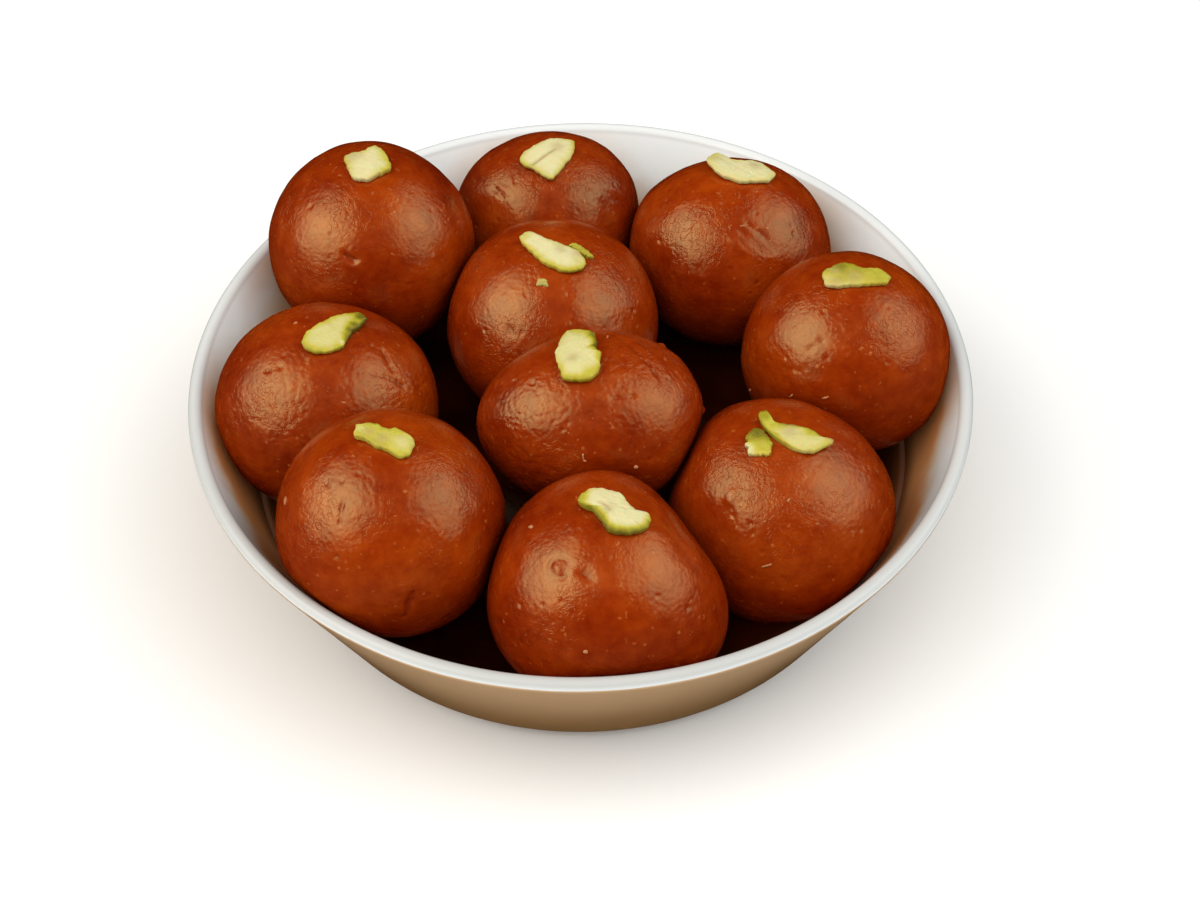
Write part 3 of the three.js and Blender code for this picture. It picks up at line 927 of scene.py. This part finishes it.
SLIVER_SIDES = 120
KNOBS = [(7, 0.06), (11, 0.05), (17, 0.05), (24, 0.035), (31, 0.02)]  # of a cut edge: number, depth
SLIVER_SINK = 0.1  # how deep a sliver beds into the skin
SLIVER_STIFFNESS = 0.35  # 0 hugs the ball, 1 stays straight
CORNER_ROUNDNESS = 0.6  # 0 keeps an outline's corners, 1 rounds them off
CORNER_STEPS = 24  # points of the curve from one corner to the next
RIM_WIDTH = 1.15  # how far in from the edge the rim's tone reaches
CREASE_WIDTH = 0.3
CREASE_DEPTH = 0.3
CREASE_SHADE = 0.9  # how brown the painted shade along a crease is, and a toasted patch, where 1 is fully toasted
PATCH_TOAST = 0.6
TOP_WAVES = [(0.9, 1.1, 0.10), (2.3, 2.7, 0.05)]  # unevenness: waves along, across, height
PHASES = 6.28  # waves start anywhere in about one turn, in radians

# Section of a sliver from the middle of its top, over its edge, to the middle of its
# underside: how far out, and how high, as shares of the outline and of its thickness.
SLIVER_SECTION = [
    (0, 1), (0.12, 1), (0.24, 1), (0.36, 1), (0.48, 0.995), (0.58, 0.99), (0.68, 0.98),
    (0.77, 0.965), (0.85, 0.945), (0.91, 0.91), (0.95, 0.85), (0.98, 0.75), (0.995, 0.6),
    (1, 0.42), (0.995, 0.25), (0.98, 0.1), (0.94, 0.02), (0.86, 0), (0.6, 0), (0.3, 0), (0, 0),
]

# Each sliver, named as its solid: ball, bearing and lift of its middle, thickness, how
# far its left tip curls up, and its outline. Tones run from 0, cream, over yellow, to 100,
# olive: that of its face, those of its rim, one for each corner of the outline, and those
# of single patches, each with place, reach and tone. Toast gives place and reach of
# browned patches, and crease is the run of a fold across the top, where there are any.
SLIVERS = {
    "01": dict(
        ball=1, at=(26.1, 88.1), thick=1.6, curl=0,
        outline=[(-4.5, 1.3), (-3.7, 2.5), (-0.8, 3.5), (0.9, 5.2), (2.5, 4.1), (4.5, 0.1),
            (4.3, -1.4), (0.9, -4.3), (-1, -4.5), (-2.5, -3.8)],
        face=6, rim=[45, 40, 35, 40, 50, 60, 50, 15, 8, 20],
        patches=[(3.4, 1.6, 1.4, 35)], toast=[(-2.7, 1.3, 1.5)],
    ),
    "02": dict(
        ball=2, at=(285.5, 82.5), thick=1.4, curl=0.3,
        outline=[(-5.3, -1.4), (-4.6, 0.5), (-1.5, 3.6), (0.5, 4.7), (2.8, 5), (5.3, 4.6),
            (5.4, 2.3), (4.6, -0.4), (1.3, -5.9), (-1.5, -4.7), (-2.7, -3.4), (-4.6, -2.9)],
        face=3, rim=[35, 30, 25, 15, 15, 45, 40, 30, 35, 30, 35, 40],
        toast=[(1.9, 2.1, 1.3)], crease=[(-2.8, -3), (-0.8, -0.9), (1.2, 1.2)],
    ),
    "03": dict(
        ball=3, at=(73.4, 79.9), thick=1.3, curl=1.4,
        outline=[(-5.8, 0.7), (-5.2, 3.3), (-3.8, 5.4), (-2.4, 4.4), (-1.4, 3), (0.6, 2.8),
            (2.8, 3.3), (4.7, 2.6), (7.5, -0.3), (6.7, -2.7), (4.8, -3.7), (0.4, -4.5),
            (-3.5, -2.7), (-5.2, -0.7)],
        face=4, rim=[25, 30, 32, 35, 30, 25, 25, 25, 25, 25, 20, 20, 15, 20],
        patches=[(-4.6, 2.6, 1.8, 25)], toast=[(3.2, 0.6, 1.3)],
    ),
    "04": dict(
        ball=4, at=(36.8, 88.5), thick=1.3, curl=0.2,
        outline=[(-6, 0), (-5.2, 1.3), (-3.3, 2.7), (-1.6, 3.2), (1.9, 1.6), (4.5, 1.8), (6.1, 0.9),
            (6.9, 0), (6.1, -1.5), (3.7, -2.4), (-2.6, -3.2), (-5.2, -3), (-5.9, -1.3)],
        face=46, rim=[50, 60, 70, 72, 60, 55, 55, 50, 50, 45, 25, 20, 30],
        patches=[(-2.3, 1.4, 1.6, 85), (0.4, 0.6, 1.6, 62), (4.2, -0.3, 2, 50),
            (-4.6, -1.6, 1.3, 30)],
        toast=[(-0.2, -1.2, 1.6), (-3.6, 0.3, 1.2), (-3.4, -2.2, 1.4)],
    ),
    "05": dict(
        ball=5, at=(296.1, 87.9), thick=1.4, curl=0.3,
        outline=[(-6.3, 3.7), (-5.7, 4.9), (-4.4, 5.2), (0, 2.3), (4.4, 0.5), (5.8, -0.8),
            (6.5, -2.1), (6, -4), (3.9, -4.9), (1.7, -4.8), (-0.7, -3.7), (-2.2, -2.5), (-5.7, 2)],
        face=4, rim=[35, 40, 35, 20, 30, 40, 50, 55, 55, 50, 45, 40, 40],
        patches=[(-5.2, 3.6, 1.2, 28), (5, -2.4, 1.2, 25)], toast=[(4.6, -0.6, 1.2), (1.5, 0, 1.1)],
    ),
    "05_chip": dict(
        ball=5, at=(7.5, 73.9), thick=1, curl=0,
        outline=[(-2.2, 0.3), (-1.6, 1.2), (-0.4, 0.9), (1.3, -0.1), (2.6, -1.4), (1.2, -1.5)],
        face=48, rim=[55, 55, 55, 55, 55, 55],
    ),
    "06": dict(
        ball=6, at=(170.6, 85.3), thick=1.7, curl=0,
        outline=[(-4.5, -0.1), (-3, 6.2), (-0.6, 6.5), (1.5, 5.8), (2.5, 4.3), (2.8, 2), (2.3, 1),
            (3.5, -0.6), (3.5, -3.1), (3, -5.3), (1.6, -6.5), (-1.2, -6.5), (-3, -6)],
        face=12, rim=[20, 45, 70, 90, 100, 100, 90, 60, 45, 65, 70, 65, 60],
        patches=[(2, 4, 1.2, 90), (1.8, -5, 1.3, 45), (-0.4, 5.4, 1.5, 42)],
        toast=[(-1.2, -1.8, 1)],
    ),
    "07": dict(
        ball=7, at=(3.7, 80.9), thick=1.4, curl=0.3,
        outline=[(-5.9, -3.4), (-5.1, -0.8), (-0.8, 3.7), (2.2, 5.7), (4.1, 6.3), (5.4, 4.8),
            (4.5, 2.4), (3, 0.4), (1.8, -3.3), (-0.1, -4.7), (-2.6, -5.6), (-4.7, -5)],
        face=20, rim=[55, 45, 50, 70, 100, 105, 105, 100, 80, 40, 50, 60],
        patches=[(4, 4.6, 1.3, 100), (3, 2, 1, 95), (2.2, 0.6, 0.7, 90), (1.4, -2.8, 0.6, 10)],
    ),
    "08": dict(
        ball=8, at=(78.1, 87.1), thick=1.4, curl=0.3,
        outline=[(-5.2, 1.3), (-4.9, 2.8), (-3.5, 3.4), (-1.6, 3.2), (-0.1, 2.1), (2.1, 1.9),
            (4, 1.1), (5.2, -0.2), (5.4, -2), (4.5, -3.9), (3, -4.3), (1.3, -3.1), (-1.2, -2),
            (-3.5, -0.2), (-4.8, 0.2)],
        face=40, rim=[40, 45, 60, 65, 55, 50, 40, 35, 40, 45, 50, 50, 55, 50, 45],
        patches=[(-3.9, 1.9, 1, 25), (3.2, -1.4, 1.6, 20), (-0.6, 0.6, 1.4, 40)],
        toast=[(-2.4, 0.9, 1), (-0.2, -0.6, 1.2)],
    ),
    "09": dict(
        ball=9, at=(8.5, 87.3), thick=1.8, curl=0.6,
        outline=[(-6.1, 1.4), (-5.4, 2.9), (-3.6, 4.4), (-1.4, 4.5), (0.8, 3.8), (3.9, 0.2),
            (6.2, -0.1), (6.6, -1.6), (5.6, -3.4), (3.1, -4.6), (0.3, -4.8), (-1.1, -3.8),
            (-3.6, -0.2), (-5.3, 0.6)],
        face=2, rim=[75, 55, 20, 12, 12, 15, 35, 65, 85, 90, 90, 90, 80, 80],
        patches=[(-5.3, 1.9, 1.1, 60)], toast=[(-0.8, -0.2, 0.9)],
        crease=[(-1.9, 0.7), (-0.6, -0.4)],
    ),
    "10": dict(
        ball=10, at=(203.8, 86), thick=1.5, curl=0.9,
        outline=[(-3.4, 3.7), (-2.9, 5.1), (-2.1, 5.5), (-0.7, 3), (1, 2.3), (3.3, 2.2), (5.8, 1.6),
            (7.9, 0.2), (10.4, -0.3), (7, -2.9), (4.7, -3.5), (2.4, -2.8), (0.4, -1.5),
            (-2.6, 1.5)],
        face=20, rim=[75, 85, 90, 80, 85, 90, 85, 75, 50, 35, 30, 35, 50, 70],
        patches=[(-2.2, 3.6, 1.2, 70), (-1, 1.6, 1.2, 45), (5.5, 0.8, 1.2, 55), (9.2, -0.4, 1, 42)],
        toast=[(1.8, 0.6, 1.5), (9.6, -0.3, 0.8)],
    ),
    "10_chip": dict(
        ball=10, at=(197.4, 75), thick=1.2, curl=0,
        outline=[(-2.3, -0.3), (-1.6, 0.4), (-2.1, 1.3), (-0.5, 3.1), (0.7, 2.7), (1.6, 1.7),
            (2.6, -0.5), (2.4, -2.2), (1.7, -2.9), (-0.6, -2.6), (-1.8, -2), (-1.5, -0.9)],
        face=50, rim=[15, 50, 70, 95, 100, 95, 70, 50, 40, 30, 10, 10],
        patches=[(0.2, 1.6, 1.4, 95), (-1.2, -1.4, 0.8, 10), (1.2, -1.4, 1, 45)],
    ),
}


def smooth_outline(corners):
    """Evenly spaced points of a closed curve that softens the corners without losing them.

    Whatever follows x and y in a corner is carried along.
    """
    corners = np.array(corners, float)
    t = np.linspace(0, 1, CORNER_STEPS, endpoint=False)[:, None]
    curve = []
    for i in range(len(corners)):
        a, b, c, d = (corners[(i + k) % len(corners)] for k in (-1, 0, 1, 2))
        bend, twist = 2 * a - 5 * b + 4 * c - d, 3 * b - a - 3 * c + d
        round_part = 0.5 * (2 * b + (c - a) * t + bend * t**2 + twist * t**3)
        curve.append(CORNER_ROUNDNESS * round_part + (1 - CORNER_ROUNDNESS) * (b + (c - b) * t))
    curve = np.concatenate(curve)
    closed = np.vstack([curve, curve[:1]])
    steps = np.linalg.norm(np.diff(closed[:, :2], axis=0), axis=1)
    run = np.concatenate([[0], np.cumsum(steps)])
    stops = np.linspace(0, run[-1], SLIVER_SIDES, endpoint=False)
    return np.stack([np.interp(stops, run, column) for column in closed.T], axis=1)


def spot(flat, x, y, reach):
    """1 at a place on the sliver, fading out around it."""
    return np.exp(-(((flat[:, 0] - x) ** 2 + (flat[:, 1] - y) ** 2) / reach**2))


def knobbly_outline(sliver, draw):
    """Points round the sliver's edge, and the tone of its rim at each."""
    corners = [(*corner, tone / 100) for corner, tone in zip(sliver["outline"], sliver["rim"])]
    outline = smooth_outline(corners)
    edge, tones = outline[:, :2], outline[:, 2]
    way_round = np.linspace(0, 2 * math.pi, SLIVER_SIDES, endpoint=False)[:, None]
    for lobes, depth in KNOBS:
        shift = draw.random(2) * 2 * math.pi
        edge = edge + depth * np.sin(lobes * way_round + shift)
    return edge, tones


def rings_of(edge, tones):
    """The sliver's points before it is draped: place, height, rim tone, way in from the rim."""
    from_middle = np.linalg.norm(edge, axis=1)
    rings = []
    for share, height in SLIVER_SECTION:
        ring = edge * share if share else edge[:1] * 0
        count = len(ring)
        inward = from_middle[:count] * (1 - share)
        rings.append((ring, np.full(count, height), tones[:count], inward))
    return [np.concatenate(column) for column in zip(*rings)]


def tones_of(sliver, flat, heights, rim_tones, inward, groove):
    """How green and how toasted the sliver is, point by point."""
    rim_share = np.exp(-((inward / RIM_WIDTH) ** 2))
    rim_share = np.where(heights < 0.8, 1, rim_share)
    face = sliver["face"] / 100
    green = face + (rim_tones - face) * rim_share
    for x, y, reach, tone in sliver.get("patches", []):
        green = green + (tone / 100 - green) * spot(flat, x, y, reach)
    # painted shade: the line along a crease is browned
    toast = groove * CREASE_SHADE
    for x, y, reach in sliver.get("toast", []):
        toast = np.maximum(toast, PATCH_TOAST * spot(flat, x, y, reach))
    return {"green": green, "toast": np.clip(toast, 0, 1)}


def make_sliver(key, sliver, skin, middle, finish, draw):
    """A cut nut draped over its ball."""
    edge, rim_tones = knobbly_outline(sliver, draw)
    flat, heights, rim_tones, inward = rings_of(edge, rim_tones)
    waves = 0
    for (along, across, height), (one, other) in zip(TOP_WAVES, draw.random((2, 2)) * PHASES):
        crests = np.sin(flat[:, 0] * along + one) * np.sin(flat[:, 1] * across + other)
        waves = waves + crests * height
    groove = np.zeros(len(flat))
    if "crease" in sliver:
        groove = np.exp(-((distance_to_path(flat, sliver["crease"]) / CREASE_WIDTH) ** 2))
    on_top = np.clip(heights * 2 - 1, 0, 1)
    thickness = sliver["thick"] * heights + on_top * (waves - CREASE_DEPTH * groove)

    def skin_at(direction):
        return skin.ray_cast(metres(middle), Vector(direction))[3] / MM

    up = heading(*sliver["at"])
    right, back = directions_at(up)
    base, tip = skin_at(up), edge[:, 0].min()
    points = []
    for (x, y), lift in zip(flat, thickness):
        direction = up * base + right * x + back * y
        direction /= np.linalg.norm(direction)
        straight = SLIVER_STIFFNESS * (x * x + y * y) / (2 * base)
        curl = sliver["curl"] * max(0, x / tip) ** 2
        away = skin_at(direction) - SLIVER_SINK + straight + curl + lift
        points.append(middle + direction * away)

    faces = ring_faces(SLIVER_SIDES, len(SLIVER_SECTION) - 2)
    tones = tones_of(sliver, flat, heights, rim_tones, inward, groove)
    piece = mesh_piece(f"pistachio_sliver_{key}", points, faces, finish, tones)
    rework(piece.data, bmesh.ops.recalc_face_normals, "faces")
    hand_over(piece, "pistachio", f"pistachio_{key}")


# ---- crumbs and flecks ----

# Crumbs lying on the balls: ball, bearing, lift, length, width, height, turn.
NUT_CRUMBS = [
    (5, -102, 68.5, 2.1, 1.5, 0.6, 25),
    (5, -96, 67.6, 1.5, 1.0, 0.5, -35),
    (10, -146, 79, 1.0, 0.6, 0.4, 40),
]
MILK_FLECKS = [
    (6, 63, 65, 0.9, 0.4, 0.35, 70),
    (6, -92.6, 24.4, 0.9, 0.35, 0.35, 85),
    (6, -92.4, 22.4, 0.9, 0.35, 0.35, 100),
    (6, -91.4, 20.8, 0.8, 0.35, 0.35, 140),
    (6, -59, 11, 1.0, 0.8, 0.4, 30),
    (9, 178, 51, 1.1, 0.7, 0.25, -20),
    (8, -168, 29, 1.4, 0.9, 0.3, 70),
    (10, -89, 55, 0.9, 0.45, 0.25, 60),
    (10, -136, 47.5, 1.7, 1.1, 0.3, 70),
    (10, -100, 21, 2.3, 0.35, 0.2, 3),
    (4, -157, -9, 0.9, 0.5, 0.25, -30),
    (4, -125, 11, 1.2, 0.4, 0.25, -15),
    (4, -105, 17, 1.5, 0.5, 0.25, -10),
    (3, -79, 58, 1.2, 0.5, 0.25, 10),
    (7, -66, 47, 0.9, 0.4, 0.2, 10),
    (7, 143, 73, 0.9, 0.6, 0.2, 0),
    (9, -100, 20, 0.9, 0.7, 0.2, 0),
]
CRUMB_DIVISIONS = 3
CRUMB_TONES = {"green": 0.4, "toast": 0.5}
SEED = 7


def uneven_lump(length, width, height, draw):
    """Points and faces of a ball that has been pulled out of shape."""
    builder = bmesh.new()
    bmesh.ops.create_icosphere(builder, subdivisions=CRUMB_DIVISIONS, radius=1)
    points = np.array([v.co for v in builder.verts])
    faces = [[v.index for v in face.verts] for face in builder.faces]
    builder.free()
    x, y = points[:, 0], points[:, 1]
    phase = draw.random(3) * PHASES
    uneven = 1 + 0.16 * np.sin(3.1 * x + phase[0]) * np.sin(2.7 * y + phase[1])
    uneven += 0.10 * np.sin(6.3 * x + phase[2])
    return points * uneven[:, None] * (length / 2, width / 2, height), faces


def make_crumbs(name, crumbs, skins, middles, finish, draw, slot):
    """Small uneven lumps pressed onto the balls, joined as one mesh."""
    points, faces = [], []
    for number, bearing, lift, length, width, height, turn in crumbs:
        lump, lump_faces = uneven_lump(length, width, height, draw)
        angle = math.radians(turn)
        across = lump[:, 0] * math.cos(angle) - lump[:, 1] * math.sin(angle)
        along = lump[:, 0] * math.sin(angle) + lump[:, 1] * math.cos(angle)
        up = heading(bearing, lift)
        right, back = directions_at(up)
        under = np.array(skins[number].ray_cast(metres(middles[number]), Vector(up))[0] / MM)
        faces += [[len(points) + i for i in face] for face in lump_faces]
        points += [
            under + right * x + back * y + up * z for x, y, z in zip(across, along, lump[:, 2])
        ]
    tones = {tone: np.full(len(points), value) for tone, value in CRUMB_TONES.items()}
    hand_over(mesh_piece(name, points, faces, finish, tones), slot)


# ---- putting it together ----


def make_floor(finish):
    half = FLOOR_SIZE / 2
    corners = [(-half, -half, 0), (half, -half, 0), (half, half, 0), (-half, half, 0)]
    floor = mesh_piece("pale_floor", corners, [(0, 1, 2, 3)], finish)
    floor.visible_glossy = False


add_camera()
for lamp_name, lamp in LAMPS.items():
    add_lamp(lamp_name, **lamp)
add_room_light()
bpy.context.scene.view_settings.view_transform = "Standard"

skin_finish = material("fried_skin", paint_skin, Specular_IOR_Level=1.0, Specular_Tint=FILM_TINT)
nut_finish = material("cut_pistachio", paint_nut, Subsurface_Weight=0.3, Subsurface_Scale=0.002)
milk_finish = material("milk_grain", paint_milk)
make_floor(material("pale_floor", paint_floor))
make_syrup(material("dark_syrup", paint_syrup, Specular_IOR_Level=0.35))

balls = make_balls(skin_finish)
middles = {number: middle_of(ball_name(number)) for number in balls}
skins = {number: tree_of(ball.data) for number, ball in balls.items()}
glaze_finish = material("two_tone_glaze", paint_glaze, Coat_Weight=0.5, Coat_Roughness=0.1)
make_bowl(glaze_finish, skins.values())
for number, ball in balls.items():
    hand_over(ball, "jamun", ball_name(number))

draw = np.random.default_rng(SEED)
for key, sliver in SLIVERS.items():
    number = sliver["ball"]
    make_sliver(key, sliver, skins[number], middles[number], nut_finish, draw)
make_crumbs("pistachio_crumbs", NUT_CRUMBS, skins, middles, nut_finish, draw, "pistachio")
make_crumbs("milk_flecks", MILK_FLECKS, skins, middles, milk_finish, draw, "jamun")
